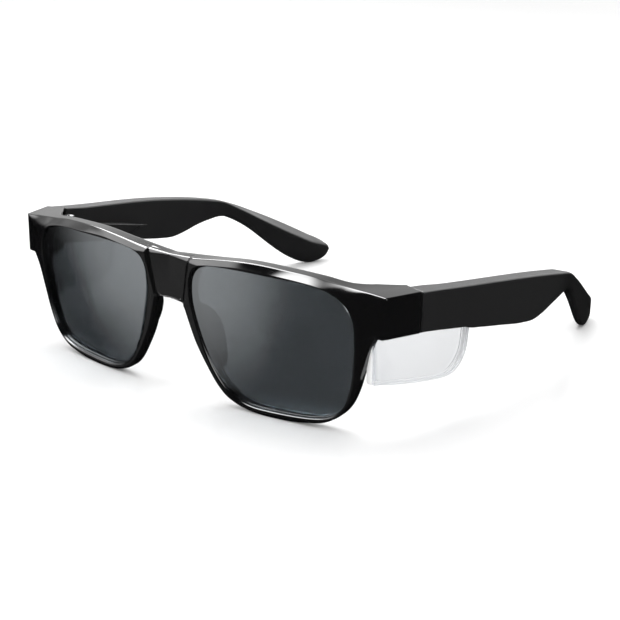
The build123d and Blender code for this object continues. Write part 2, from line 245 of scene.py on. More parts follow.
def steel(name, colour, roughness, stretch):
    """Stamped or turned steel with fine drawn lines."""
    material, tree, output = new_material(name)
    lines = noise(tree, scale=1800, detail=3, roughness=0.6, stretch=stretch)
    tarnish = noise(tree, scale=300)
    darker = tuple(0.7 * channel for channel in colour)
    shader = node(tree, "ShaderNodeBsdfPrincipled", {
        "Base Color": blend_colour(tree, tarnish, darker, colour), "Metallic": 1.0,
        "Roughness": between(tree, lines, roughness - 0.08, roughness + 0.12, *NOISE_RANGE),
        "Normal": bump(tree, lines, 0.2, 0.01 * MM)})
    tree.links.new(shader.outputs["BSDF"], output.inputs["Surface"])
    return material


MATERIALS = {
    "front_black": gloss_black(),
    "temple_black": satin_black(),
    "lens_smoke": smoke_lens(),
    "shield_clear": clear_shield(),
    "hinge_steel": steel("stamped_steel", LEAF_STEEL, roughness=0.32, stretch=(1, 1, 0.08)),
    "screw_steel": steel("turned_steel", SCREW_STEEL, roughness=0.22, stretch=(0.08, 1, 1)),
}


def paint(obj, slot_name):
    obj.data.materials.clear()
    obj.data.materials.append(MATERIALS[slot_name])


for part in frame["record"]["subparts"]:
    cad_node = frame["nodes"][part["node"]]
    paint(cad_node, part["material_slot"])

# ---- curves and meshes ------------------------------------------------------------------
# Shapes are worked out in millimetres, with y = 0 at the foot of the lens plane, and
# moved into the frame when a mesh is made.
SIDES = (("left", False), ("right", True))      # side and whether it is mirrored
PIVOT_Y = 20.4                # hinge axis behind the foot of the lens plane
FRAME_Y = frame["joints"][0]["pos_m"][1] / MM - PIVOT_Y
TILT = math.radians(7.0)      # the lens plane leans forward at the top
FACE_SHIFT = 2.64             # where the tilted face stands on the table, in Y
MERGE_DISTANCE = 0.002        # points closer than this become one
STRAIGHT = 1e-3               # a corner that turns less than this, in radians, isn't rounded


def cubic(table, x):
    """Smooth curve through a table of (x, y, ...) rows, evaluated at the values x."""
    table = np.asarray(table, float)
    knots, values = table[:, 0], table[:, 1:]
    steps = np.diff(knots)[:, None]
    slopes = np.diff(values, axis=0) / steps
    tangents = np.vstack([slopes[:1], (slopes[:-1] * steps[1:] + slopes[1:] * steps[:-1])
                          / (steps[1:] + steps[:-1]), slopes[-1:]])
    x = np.atleast_1d(np.asarray(x, float))
    i = np.clip(np.searchsorted(knots, x) - 1, 0, len(knots) - 2)
    width = steps[i]
    u = ((x - knots[i])[:, None]) / width
    made = (values[i] * (1 + 2 * u) * (1 - u) ** 2 + tangents[i] * width * u * (1 - u) ** 2
            + values[i + 1] * u * u * (3 - 2 * u) + tangents[i + 1] * width * u * u * (u - 1))
    return made[:, 0] if made.shape[1] == 1 else made


def along(points, count):
    """count points evenly spaced along a polyline."""
    points = np.asarray(points, float)
    run = np.r_[0, np.cumsum(np.linalg.norm(np.diff(points, axis=0), axis=1))]
    want = np.linspace(0, run[-1], count)
    return np.stack([np.interp(want, run, points[:, k]) for k in range(points.shape[1])], 1)


def rounded(corners, arc_points=10):
    """Open chain of points along straight edges; each corner is (u, v, radius)."""
    points = [np.array(corners[0][:2], float)]
    for before, here, after in zip(corners[:-2], corners[1:-1], corners[2:]):
        start, corner, end = (np.array(place[:2], float) for place in (before, here, after))
        radius = here[2]
        into, out = unit(corner - start), unit(end - corner)
        turn = math.acos(max(-1.0, min(1.0, float(into @ out))))
        if radius == 0 or turn < STRAIGHT:
            points.append(corner)
            continue
        turns_left = into[0] * out[1] - into[1] * out[0] > 0
        side = np.array([-into[1], into[0]]) * (1 if turns_left else -1)
        centre = corner - into * radius * math.tan(turn / 2) + side * radius
        for angle in turn * np.arange(arc_points + 1) / arc_points:
            points.append(centre - side * radius * math.cos(angle) + into * radius * math.sin(angle))
    points.append(np.array(corners[-1][:2], float))
    return np.array(points)


def smoothstep(x, low, high):
    """0 below low, 1 above high, and a smooth rise between."""
    u = np.clip((np.asarray(x, float) - low) / (high - low), 0, 1)
    return u * u * (3 - 2 * u)


def to_table(points):
    """Points of the upright face, moved to where the tilted face stands on the table."""
    points = np.asarray(points, float)
    x, y, z = points[..., 0], points[..., 1], points[..., 2]
    return np.stack([x, y * math.cos(TILT) - z * math.sin(TILT) + FACE_SHIFT,
                     z * math.cos(TILT) + y * math.sin(TILT)], -1)


def corner_round(at, first, second, radius, count=3):
    """Points that round the corner at, between unit directions first and second."""
    made = []
    for u in np.arange(count + 1) / count:
        made.append(at + first * radius * (1 - u) ** 2 + second * radius * u ** 2)
    return made


def unit(vectors):
    """Vectors scaled to length 1; a zero vector stays zero."""
    vectors = np.asarray(vectors, float)
    return vectors / np.maximum(np.linalg.norm(vectors, axis=-1, keepdims=True), 1e-9)


def make_piece(name, vertices, faces, body, slot_name, replaced_node, mirror=False):
    """Mesh object in the frame from points in millimetres, riding on a body in place of a node."""
    vertices = np.asarray(vertices, float) * MM
    vertices[:, 1] += FRAME_Y * MM
    if mirror:
        vertices[:, 0] *= -1
    mesh = bpy.data.meshes.new(name)
    mesh.from_pydata(vertices.tolist(), [], faces)
    shape = bmesh.new()
    shape.from_mesh(mesh)
    bmesh.ops.remove_doubles(shape, verts=shape.verts, dist=MERGE_DISTANCE * MM)
    bmesh.ops.dissolve_degenerate(shape, edges=shape.edges, dist=MERGE_DISTANCE * MM)
    bmesh.ops.recalc_face_normals(shape, faces=shape.faces)
    shape.to_mesh(mesh)
    shape.free()
    mesh.shade_smooth()
    obj = bpy.data.objects.new(name, mesh)
    bpy.context.scene.collection.objects.link(obj)
    weighted = obj.modifiers.new("weighted_normals", "WEIGHTED_NORMAL")
    weighted.mode = "FACE_AREA_WITH_ANGLE"
    weighted.keep_sharp = True
    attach(obj, body)
    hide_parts(replaced_node)
    paint(obj, slot_name)


def grid_faces(rows, columns, offset=0, wrap_rows=False):
    """Quads between rows of points; each row closes on itself, and with wrap_rows the rows do too."""
    faces = []
    for i in range(rows if wrap_rows else rows - 1):
        row = offset + i * columns
        following = offset + ((i + 1) % rows) * columns
        for j in range(columns):
            k = (j + 1) % columns
            faces.append((row + j, row + k, following + k, following + j))
    return faces


def end_faces(rows, columns, offset=0):
    """The two faces that close a tube of rows at its first and last row."""
    last = offset + (rows - 1) * columns
    return [tuple(range(offset, offset + columns)), tuple(range(last, last + columns))[::-1]]


def tube_faces(sections, offset=0):
    rows, columns = sections.shape[:2]
    return grid_faces(rows, columns, offset) + end_faces(rows, columns, offset)


# ---- the front ----------------------------------------------------------------------------
# Curves seen from above and edges in space; the left half only.
WRAP = [(0, -1.6), (20, -1.1), (40, 0.9), (56, 3.9), (76, 9.4)]        # face curve (x, y)
TOP_EDGE = [(0, -2.9, 44.8), (9, -2.8, 45.2), (20, -2.7, 46.6), (28, -2.3, 47.4), (35, -0.9, 47.4),
            (42, 0.7, 47.0), (50, 2.9, 46.3), (56, 4.7, 45.3), (62, 6.0, 44.5), (67, 6.5, 44.1),
            (72.6, 6.7, 43.6)]                                          # crisp front edge of the top
TOP_REAR = [(0, 1.7, 44.9), (17, 2.0, 46.4), (30, 2.7, 47.5), (42, 4.7, 47.1), (52, 7.6, 46.1),
            (60, 10.6, 44.9), (65, 15.6, 44.4), (69.8, 20.9, 44.0)]     # rear edge of the top
SEAM_OUTER = (76.2, 19.0)     # the lug and the temple meet along this line, seen from above
SEAM_INNER = (69.8, 20.9)
SEAM_BREAK = (41.0, 34.0)     # heights at which the seam's face turns from top to side to underside
LUG_TOP, LUG_UNDER = 43.6, 31.4
LUG_RISE = 0.4                # the lug's top is higher at its inner edge
LUG_LEAN = 0.4                # the foot of the lug's front ridge lies behind its top
LUG_INSIDE = [(65.6, 15.9), (65.6, 13.2)]       # the lug's inner side, seen from above
RIM_DEPTH = 3.9
FACET_TOP, FACET_FOOT = (8.6, 45.0), (6.1, 33.2)        # edge of the bridge facet (x, z)
FACET_DEPTH = 0.55
FACET_SOFT = (-0.35, 0.35)    # the facet's edge is smoothed over this width
FACET_REACH = (0.3, 1.6)      # the facet fades out between these depths ahead of the face

# Radii of the front's rounded edges.
LIP_ROUND = 0.8               # rim to lens opening, in front
LENS_BACK_ROUND = 0.5
TOP_ROUND, SIDE_ROUND, RIM_ROUND = 0.35, 0.4, 0.9
TOP_REAR_ROUND, SEAM_ROUND = 0.8, 0.25
RIM_REAR_SHARE = 0.6          # the rim's rear edge is sharper than its front edge
MIDDLE_ROUND = 0.5            # where the front's two halves meet
MIDDLE_SHARE = 0.15           # the middle rows lie this share of the way in from the rear edge
BROW_HEIGHTS = (34, 42)       # the opening's rear edge moves back to the brow's over these heights
ON_MIDDLE = 1e-6              # points nearer to the middle than this lie on it

# Left nose pad; its flank is (share of the length, x, z) in the upright face.
PAD_FLANK = [(0, 5.9, 29.6), (0.35, 7.6, 23.6), (0.7, 10.4, 16.8), (1, 15.2, 9.8)]
PAD_ROOT = 1.0                # shortest reach, and the depth at which the pad leaves the rim
PAD_REACH = 7.4               # reach added along the middle of the pad
PAD_FOOT, PAD_TIP = 2.4, 1.6  # thickness at the rim and at the end
PAD_LEAN, PAD_FLARE = 0.12, 0.28          # how far it leans and flares outwards as it runs back
PAD_ROUND = 0.8               # radius of its rear edge


def wrap_y(x):
    return cubic(WRAP, np.abs(x))


# Outlines in the upright face (x, z).
LENS_EDGE = [(9.25, 31), (8.9, 36), (9.5, 40.2), (11.7, 43.2), (15.8, 44.6), (22, 45.05), (30, 45.1),
             (38, 44.9), (46, 44.6), (52.5, 43.8), (57.6, 42), (61, 39), (62.8, 35), (63.2, 30), (62.9, 23),
             (62, 16), (60.1, 9.2), (58.2, 6.1), (55.2, 3.8), (51.5, 2.6), (46, 2.0), (38, 1.8), (30, 1.9),
             (25.2, 2.9), (21.6, 4.8), (18.6, 7.8), (15.8, 11.9), (13.2, 17.4), (11.1, 23.8)]
RIM_EDGE = [(69.9, 31.4), (69.2, 30.2), (67.9, 28.0), (66.6, 24.6), (65.6, 21.2), (64.6, 17.8),
            (63.5, 14.0), (62.2, 10.5), (60.7, 7.5), (58.6, 4.8), (55.8, 2.7), (52.5, 1.2), (48.5, 0.5),
            (44.5, 0.0), (40, -0.25), (34, -0.25), (29.5, 0.1), (25.4, 0.9), (21.9, 2.2), (19.5, 3.6),
            (17.7, 5.3), (15.9, 7.5), (14.2, 10.1), (12.5, 12.9), (10.8, 15.9), (9.1, 19.4), (7.7, 23.2),
            (6.6, 26.6), (5.7, 29.4), (4.6, 31.2), (3.2, 31.8), (0, 31.9)]

# The front's rows run round the left lens in five stretches, each in steps between matched places.
ROW_COUNTS = {"bridge": [20], "top": [22, 22, 32, 10, 12], "side": [16], "under": [5, 7],
              "rim": [10, 22, 20, 26, 34, 14]}
OPENING_STOPS = [(9.15, 31.5), (10.7, 42.5), (14.5, 44.9), (28, 45), (57.5, 42.0), (60.6, 39.8), (62.6, 37),
                 (63.1, 31.5), (63.0, 29.6), (62.9, 28), (62.5, 22), (58.4, 5.4), (41, 2), (21.6, 4.9),
                 (9.9, 27.5)]
RIM_STOPS = [(69.9, 31.4), (66.3, 24), (58.9, 3.0), (41, -0.3), (20, 3.2), (6.9, 26.6), (0, 31.9)]
TOP_STOPS = [0, 9, 28, 60, 67, 72.6]


def smooth_chain(points, closed=False, steps=24):
    """Dense points along a smooth curve through the given ones."""
    points = np.asarray(points, float)
    if closed:
        points = np.vstack([points[-1:], points, points[:2]])
    else:
        points = np.vstack([2 * points[0] - points[1], points, 2 * points[-1] - points[-2]])
    made = []
    for before, start, end, after in zip(points[:-3], points[1:-2], points[2:-1], points[3:]):
        for u in np.arange(steps) / steps:
            bend = 2 * before - 5 * start + 4 * end - after
            swing = 3 * start - before - 3 * end + after
            made.append(0.5 * (2 * start + (end - before) * u + bend * u ** 2 + swing * u ** 3))
    made.append(points[-2])
    return np.array(made)


def lens_contour():
    """Closed outline of the lens opening in the upright face, from the bridge side over the top."""
    return smooth_chain(LENS_EDGE, closed=True)


FINE_COUNT = 2401             # points on a chain when a place is looked up on it


def nearest(points, place):
    """Number of the chain's point nearest to a place."""
    return int(np.argmin(np.linalg.norm(points[:, :2] - np.asarray(place, float), axis=1)))


def resample(chain, places, counts):
    """Points along a chain, evenly spaced between the chain's points nearest to places."""
    chain = along(chain, FINE_COUNT)
    stops = [nearest(chain, place) for place in places]
    made = []
    for start, end, count in zip(stops[:-1], stops[1:], counts):
        made.append(along(chain[start:end + 1], count + 1)[:-1])
    made.append(chain[stops[-1]][None, :])
    return np.vstack(made)


def on_face(chain):
    """Upright-face (x, z) points, given the wrap's depth and leaned onto the table frame."""
    return to_table(np.stack([chain[:, 0], wrap_y(chain[:, 0]), chain[:, 1]], 1))


def line(start, end, count):
    """count evenly spaced points from start, without the end."""
    return along([start, end], count + 1)[:-1]


def row_starts():
    """Numbers of the rows at which the stretches of ROW_COUNTS start, then the number of rows."""
    return np.cumsum([0] + [sum(counts) for counts in ROW_COUNTS.values()])


def seam_span(starts):
    """First and last row of the lug's end face."""
    return starts[2] - ROW_COUNTS["top"][-1], starts[3] + ROW_COUNTS["under"][0]


def opening_rows():
    counts = sum(ROW_COUNTS.values(), [])
    opening = resample(lens_contour(), OPENING_STOPS, counts[:-1])
    closing = line(opening[-1], opening[0], counts[-1])
    return on_face(np.vstack([opening[:-1], closing]))


def top_places():
    stretches = zip(TOP_STOPS[:-1], TOP_STOPS[1:], ROW_COUNTS["top"])
    return np.concatenate([np.linspace(start, end, count, endpoint=False) for start, end, count in stretches])


def outer_front_rows(rim):
    """Front outer edge: up the bridge, over the top, down the lug's ridge and round the rim."""
    top_x = top_places()
    top = np.column_stack([top_x, cubic(TOP_EDGE, top_x)])
    bridge = line(rim[-1], top[0], ROW_COUNTS["bridge"][0])
    corner = np.array(TOP_EDGE[-1], float)
    side_foot = np.array([corner[0], corner[1] + LUG_LEAN, LUG_UNDER])
    side = line(corner, side_foot, ROW_COUNTS["side"][0])
    seam_count, lug_count = ROW_COUNTS["under"]
    under = line(side_foot, rim[0], seam_count)
    under_end = np.repeat(rim[:1], lug_count, 0)
    return np.vstack([bridge, top, side, under, under_end, rim[:-1]])


def outer_rear_rows(rim, depth):
    """Rear outer edge, which follows the seam at the end of the lug."""
    top_x = top_places()
    stops = [0, TOP_STOPS[3], TOP_STOPS[4]]
    rear_x = np.interp(top_x, stops, [*stops[:2], SEAM_INNER[0]])
    top = np.column_stack([rear_x, cubic(TOP_REAR, rear_x)])
    seam_outer_top, seam_inner_top = (*SEAM_OUTER, LUG_TOP), (*SEAM_INNER, LUG_TOP + LUG_RISE)
    seam_outer_foot, seam_inner_foot = (*SEAM_OUTER, LUG_UNDER), (*SEAM_INNER, LUG_UNDER)
    seam_count = ROW_COUNTS["top"][-1]
    top[-seam_count:] = line(seam_inner_top, seam_outer_top, seam_count)
    side = line(seam_outer_top, seam_outer_foot, ROW_COUNTS["side"][0])
    under = line(seam_outer_foot, seam_inner_foot, ROW_COUNTS["under"][0])
    lug_inside = [seam_inner_foot, *((x, y, LUG_UNDER) for x, y in LUG_INSIDE), rim[0] + depth]
    inside = along(lug_inside, ROW_COUNTS["under"][1] + 1)[:-1]
    bridge = line(rim[-1] + depth, top[0], ROW_COUNTS["bridge"][0])
    return np.vstack([bridge, top, side, under, inside, rim[:-1] + depth])


def lens_rear_rows(lens_front, depth):
    """Rear edge of the opening; behind the brow it follows the rear edge of the top."""
    behind = lens_front + depth
    brow = smoothstep(lens_front[:, 2], *BROW_HEIGHTS)
    top_rear_y = cubic([row[:2] for row in TOP_REAR], lens_front[:, 0])
    behind[:, 1] += brow * (top_rear_y - behind[:, 1])
    return behind


def middle_rows(outer_rear, lens_rear, starts):
    """Rows just inside the rear outer edge; behind the lug they run down the seam's inner edge."""
    seam_start, seam_end = seam_span(starts)
    index = np.arange(len(outer_rear))
    share = np.interp(index, [seam_start - 12, seam_start, seam_end, seam_end + 6],
                      [MIDDLE_SHARE, 0, 0, MIDDLE_SHARE])
    middle = outer_rear + share[:, None] * (lens_rear - outer_rear)
    height = np.interp(index, [seam_start, starts[2], starts[3], seam_end],
                       [LUG_TOP + LUG_RISE, *SEAM_BREAK, LUG_UNDER])
    on_seam = (index >= seam_start) & (index <= seam_end)
    middle[on_seam, :2] = SEAM_INNER
    middle[on_seam, 2] = height[on_seam]
    return middle


def front_rows(starts):
    """Matching rows of points round the left lens, from the opening's front to its rear."""
    rim = on_face(resample(smooth_chain(RIM_EDGE), RIM_STOPS, ROW_COUNTS["rim"]))
    depth = to_table([[0, RIM_DEPTH, 0]])[0] - to_table([[0, 0, 0]])[0]
    lens_front = opening_rows()
    lens_rear = lens_rear_rows(lens_front, depth)
    outer_rear = outer_rear_rows(rim, depth)
    middle = middle_rows(outer_rear, lens_rear, starts)
    return lens_front, outer_front_rows(rim), outer_rear, middle, lens_rear


def edge_radii(starts):
    """Radii of the front and rear outer edges, row by row."""
    index = np.arange(starts[-1])
    seam_start, seam_end = seam_span(starts)
    on_rim = index >= starts[4]
    front_radii = np.select([index < starts[1], index < starts[2], index < starts[4]],
                            [0.0, TOP_ROUND, SIDE_ROUND], RIM_ROUND)
    front_radii[on_rim] *= np.interp(index[on_rim], [starts[4], starts[4] + 8, starts[5] - 12, starts[5] - 1],
                                     [0.45, 1, 1, 0.55])
    rear_radii = np.select([index < starts[1], index < seam_start - 6, index < seam_end + 3],
                           [0.0, TOP_REAR_ROUND, SEAM_ROUND], RIM_ROUND)
    rear_radii[on_rim] *= RIM_REAR_SHARE
    front_radii[0] = rear_radii[0] = MIDDLE_ROUND
    return front_radii, rear_radii


def across(vector, tangent):
    """Unit vector along the part of vector that is square to tangent."""
    return unit(vector - (vector @ tangent) * tangent)


def section_points(rows, i, front_radius, rear_radius, starts):
    """One closed section through the front at row i."""
    lens_front, outer_front, outer_rear, middle, lens_rear = (chain[i] for chain in rows)
    ahead, behind = rows[1][(i + 1) % len(rows[1])], rows[1][i - 1]
    tangent = np.array([1.0, 0, 0]) if i in (0, starts[1]) else unit(ahead - behind)
    seam_start, seam_end = seam_span(starts)
    inward = across(lens_front - outer_front, tangent)
    inward_rear = across(lens_rear - outer_rear, tangent)
    if seam_start <= i <= seam_end:
        inward_rear = unit(middle - outer_rear)
    through = unit(outer_rear - outer_front)
    opening = unit(lens_rear - lens_front)
    outward = unit(outer_front - lens_front)
    front_round = corner_round(outer_front, inward, through, front_radius, 4)
    rear_round = corner_round(outer_rear, -through, inward_rear, rear_radius)
    lip = corner_round(lens_front, opening, outward, LIP_ROUND)
    lens_back = corner_round(lens_rear, unit(middle - lens_rear), -opening, LENS_BACK_ROUND)
    face = along([lip[-1], front_round[0]], 20)[1:-1]
    wall = along([front_round[-1], rear_round[0]], 8)[1:-1]
    back = np.vstack([along([rear_round[-1], middle], 4)[1:], along([middle, lens_back[0]], 7)[1:-1]])
    inside = along([lens_back[-1], lip[0]], 6)[1:-1]
    return np.vstack([lip, face, front_round, wall, rear_round, back, lens_back, inside])


def sink_facet(points):
    """Pushes the facet at the front of the bridge back by FACET_DEPTH."""
    x, z = np.abs(points[:, 0]), points[:, 2]
    slope = (FACET_TOP[0] - FACET_FOOT[0]) / (FACET_TOP[1] - FACET_FOOT[1])
    half_width = FACET_FOOT[0] + (z - FACET_FOOT[1]) * slope
    inside = smoothstep(half_width - x, *FACET_SOFT)
    in_front = smoothstep(-points[:, 1], *FACET_REACH)
    sunk = points.copy()
    sunk[:, 1] += FACET_DEPTH * inside * in_front
    return sunk


def nose_pad_points():
    """Left nose pad: a rounded blade that runs back and outwards from the rim's nose edge."""
    steps = np.linspace(0, 1, 41)
    flank = cubic(PAD_FLANK, steps)
    reach = PAD_ROOT + PAD_REACH * np.sin(np.pi * (0.04 + 0.92 * steps)) ** 0.5
    tangent = unit(np.gradient(flank, axis=0))
    outward = np.column_stack([-tangent[:, 1], tangent[:, 0]])
    sections = []
    for place, side, depth in zip(flank, outward, reach):
        lean = PAD_LEAN * depth
        profile = rounded([(PAD_FOOT, 0.2), (0.2, 0, 0.2), (0.2 + lean, depth, PAD_ROUND),
                           (PAD_TIP + lean, depth, PAD_ROUND), (PAD_FOOT, 0.2)], 5)
        outwards = profile[:, 0] + PAD_FLARE * profile[:, 1]
        x, z = (place[k] + side[k] * outwards for k in (0, 1))
        y = wrap_y(place[:1]) + PAD_ROOT + profile[:, 1]
        sections.append(to_table(np.column_stack([x, y, z])))
    return np.array(sections)


def front():
    starts = row_starts()
    rows = front_rows(starts)
    front_radii, rear_radii = edge_radii(starts)
    sections = []
    for i in range(starts[-1]):
        sections.append(sink_facet(section_points(rows, i, front_radii[i], rear_radii[i], starts)))
    sections = np.array(sections)
    sections[..., 2] = np.maximum(sections[..., 2], 0.0)    # the rims stand flat on the table
    half = sections.reshape(-1, 3)
    quads = grid_faces(*sections.shape[:2], wrap_rows=True)
    quads = [quad for quad in quads if not all(abs(half[k, 0]) < ON_MIDDLE for k in quad)]
    pad = nose_pad_points()
    points = np.vstack([half, pad.reshape(-1, 3)])
    faces = quads + tube_faces(pad, offset=len(half))
    faces += [tuple(k + len(points) for k in reversed(face)) for face in faces]
    both = np.vstack([points, points * [-1, 1, 1]])
    make_piece("front_shell", both, faces, "front", "front_black", "front_frame")


front()


# ---- lenses ---------------------------------------------------------------------------
LENS_CENTRE = (36.0, 23.0)
LENS_SETBACK = 1.2            # lens face behind the rim's front
LENS_THICK = 2.0
LENS_TUCK = 0.35              # how far the lens reaches into its groove
LENS_DOME = 0.9               # bulge between the lens's top and bottom
DOME_MIDDLE, DOME_HALF = 24, 21          # height of the bulge's middle, and half of its height
LENS_RINGS = [0.002, 0.15, 0.3, 0.45, 0.6, 0.72, 0.82, 0.9, 0.96, 1.0]
LENS_COLUMNS = 180


def lens_sheet(edge, rings, setback):
    """Rings of points from the middle of the lens to its edge, on the wrap curve."""
    centre = np.array(LENS_CENTRE)
    sheet = []
    for ring in rings:
        xz = centre + ring * (edge - centre)
        height = (xz[:, 1] - DOME_MIDDLE) / DOME_HALF
        y = wrap_y(xz[:, 0]) + setback - LENS_DOME * (1 - height ** 2)
        sheet.append(to_table(np.column_stack([xz[:, 0], y, xz[:, 1]])))
    return np.array(sheet)


def lens(side_name, mirror):
    edge = along(lens_contour(), LENS_COLUMNS + 1)[:-1]
    tangent = unit(np.roll(edge, -1, 0) - np.roll(edge, 1, 0))
    normal = np.column_stack([tangent[:, 1], -tangent[:, 0]])
    normal *= np.sign(((edge - LENS_CENTRE) * normal).sum(1).mean())
    edge = edge + LENS_TUCK * normal
    ahead = lens_sheet(edge, LENS_RINGS, LENS_SETBACK)
    behind = lens_sheet(edge, LENS_RINGS[::-1], LENS_SETBACK + LENS_THICK)
    rows = np.vstack([ahead, behind])
    make_piece("lens_pane_" + side_name, rows.reshape(-1, 3), tube_faces(rows), "front", "lens_smoke",
               "lens_" + side_name, mirror)


# ---- temples ---------------------------------------------------------------------------
# Curves along Y: the outer and inner faces in X, the top and underside in Z.
TEMPLE_OUTER = [(19.0, 76.2), (27.5, 76.6), (37.6, 77.5), (47.6, 78.5), (57.7, 79.4), (67.7, 80.0),
                (77.8, 80.2), (88, 80.1), (100, 79.3), (109.5, 77.4), (118.3, 74.8), (123, 73.3),
                (132.4, 70.4), (142.8, 67.4), (148, 66.0), (154, 64.5), (159, 63.0), (161.8, 61.4)]
TEMPLE_INNER = [(19.0, 69.8), (27.5, 70.0), (37.5, 71.3), (47.6, 72.4), (57.7, 73.3), (67.8, 73.9),
                (77.9, 74.0), (88, 73.9), (98, 73.2), (108, 71.2), (118, 68.2), (128, 65.4), (138, 62.6),
                (148, 60.2), (155, 59.0), (159, 58.9), (161.8, 59.9)]
TEMPLE_TOP = [(15, 43.8), (19, 43.4), (27.5, 42.5), (37.6, 41.4), (47.6, 40.4), (57.7, 39.4), (67.7, 38.3),
              (77.8, 37.0), (88, 35.5), (100, 33.4), (109.5, 31.3), (118.3, 28.4), (124, 26), (132.4, 22.2),
              (142.8, 17.2), (148, 14.6), (153, 12.1), (156.5, 10.4), (159.3, 8.5), (161, 6.6),
              (161.8, 4.9)]
TEMPLE_UNDER = [(15, 31.5), (19, 31.3), (27.5, 30.2), (40, 28.4), (42.2, 28.1), (43.6, 27.6), (50, 26.4),
                (60.4, 24.7), (73.6, 22.5), (80.6, 21.9), (87, 22.8), (93.5, 24.3), (100.4, 25.4),
                (106, 25.7), (109.7, 25.1), (114, 23.4), (118.6, 20.9), (123.3, 17.7), (127.9, 14.1),
                (133, 10.0), (138.1, 6.2), (143.5, 2.9), (147.8, 0.9), (152, 0.0), (155, 0.2), (157.5, 0.8),
                (159.5, 1.8), (161, 3.1), (161.8, 4.4)]
TIP_DROP = [(100, 0.0), (108, 0.3), (114, 1.7), (123, 3.3), (132.6, 4.2), (143, 4.4), (153, 3.6),
            (160, 1.2), (161.8, 0.0)]        # how much the tip's top falls towards the head
UNDER_TUCK = [(100, 0.0), (108, 1.2), (116, 2.6), (150, 2.6), (158, 1.2), (161.8, 0.0)]
EDGE_ROUND = [(19, 0.5), (60, 0.7), (100, 1.1), (120, 1.5), (161.8, 1.9)]
TEMPLE_STRETCHES = [(19, 42, 20), (42, 44, 7), (44, 120, 52)]     # start, end, number of sections
TIP_START, TIP_END, TIP_SECTIONS = 120, 161.8, 46
BOSS_OUTER = 74.4             # the boss on the inner face, which holds the shield
BOSS_INNER = [(20, 70.4), (23, 69.7), (30, 69.6), (46, 69.8), (56, 71.4), (62, 73.3), (66, 73.8)]
BOSS_TOP = [(20, 38.6), (40, 34.9), (52, 32.5), (62, 30.2), (66, 29.4)]
BOSS_UNDER = [(20, 31.4), (46, 28.4), (57, 28.9), (62, 29.3), (66, 29.2)]
BOSS_START, BOSS_END, BOSS_SECTIONS = 21.4, 65.5, 40
BOSS_ROUND = 0.5
SEAM_GAP = 0.35
SEAM_FADE = 15.0              # the seam's slant is gone this far behind it
LARGEST_ROUND = 0.49          # largest radius, as a share of a section's shortest side


def sweep_sections(places, corners, radii):
    """Rounded four-sided sections, one for each place along Y; corners are (x, z) columns."""
    sections = []
    for place, quad, radius in zip(places, corners, radii):
        edges = quad - np.roll(quad, 1, 0)
        round_to = min(radius, LARGEST_ROUND * np.linalg.norm(edges, axis=1).min())
        ring = []
        for k, here in enumerate(quad):
            before, following = quad[k - 1], quad[(k + 1) % 4]
            to_following = unit(following - here)
            ring.append(corner_round(here, unit(before - here), to_following, round_to, 5))
            ring.append(along([ring[-1][-1], following - to_following * round_to], 7)[1:-1])
        ring = np.vstack(ring)
        sections.append(np.column_stack([ring[:, 0], np.full(len(ring), place), ring[:, 1]]))
    return np.array(sections)


def section_corners(outer, inner, top, under, drop=0.0, tuck=0.0):
    """Corners (x, z) of the sections: outer underside, outer top, inner top and inner underside."""
    x = np.stack([outer, outer, inner, inner + tuck], 1)
    z = np.stack([under, top, top - drop, under], 1)
    return np.stack([x, z], 2)


def tip_shape(knots, places):
    """Smooth amount along the tip, nothing ahead of the first knot."""
    return np.where(places > knots[0][0], cubic(knots, np.maximum(places, knots[0][0])), 0.0)


def temple_places():
    """Places of the arm's sections along Y, closer together towards the tip's end."""
    body = [np.linspace(start, end, count, endpoint=False) for start, end, count in TEMPLE_STRETCHES]
    run = np.sin(np.linspace(0, np.pi / 2, TIP_SECTIONS))
    return np.concatenate([*body, TIP_START + (TIP_END - TIP_START) * run])


def temple_arm():
    places = temple_places()
    corners = section_corners(cubic(TEMPLE_OUTER, places), cubic(TEMPLE_INNER, places),
                              cubic(TEMPLE_TOP, places), cubic(TEMPLE_UNDER, places),
                              tip_shape(TIP_DROP, places), tip_shape(UNDER_TUCK, places))
    arm = sweep_sections(places, corners, cubic(EDGE_ROUND, places))
    slant = (SEAM_OUTER[1] - SEAM_INNER[1]) / (SEAM_OUTER[0] - SEAM_INNER[0])
    share = np.clip(1 - (arm[..., 1] - SEAM_OUTER[1]) / SEAM_FADE, 0, 1)
    arm[..., 1] += share * (SEAM_GAP + slant * (arm[..., 0] - SEAM_OUTER[0]))
    return arm


def boss():
    places = np.linspace(BOSS_START, BOSS_END, BOSS_SECTIONS)
    corners = section_corners(np.full(BOSS_SECTIONS, BOSS_OUTER), cubic(BOSS_INNER, places),
                              cubic(BOSS_TOP, places), cubic(BOSS_UNDER, places))
    return sweep_sections(places, corners, np.full(BOSS_SECTIONS, BOSS_ROUND))


def temple(side_name, mirror):
    parts = [temple_arm(), boss()]
    points = np.vstack([part.reshape(-1, 3) for part in parts])
    faces = tube_faces(parts[0]) + tube_faces(parts[1], offset=parts[0].size // 3)
    make_piece("temple_shell_" + side_name, points, faces, "temple_arm_" + side_name, "temple_black",
               "temple_" + side_name, mirror)


# ---- side shields -----------------------------------------------------------------------
# The sheet's middle seen from above, (y, x), at an upper and a lower height.
SHIELD_UPPER = [(7.6, 66.6), (9.2, 67.4), (11.6, 68.4), (16.5, 70.3), (24, 72.2), (36, 73.9), (49, 74.6)]
SHIELD_LOWER = [(7.6, 64.2), (9.2, 64.8), (10.8, 65.5), (16.5, 68.6), (24, 71.4), (36, 73.5), (49, 74.3)]
SHIELD_UPPER_Z, SHIELD_LOWER_Z = 31.0, 14.0
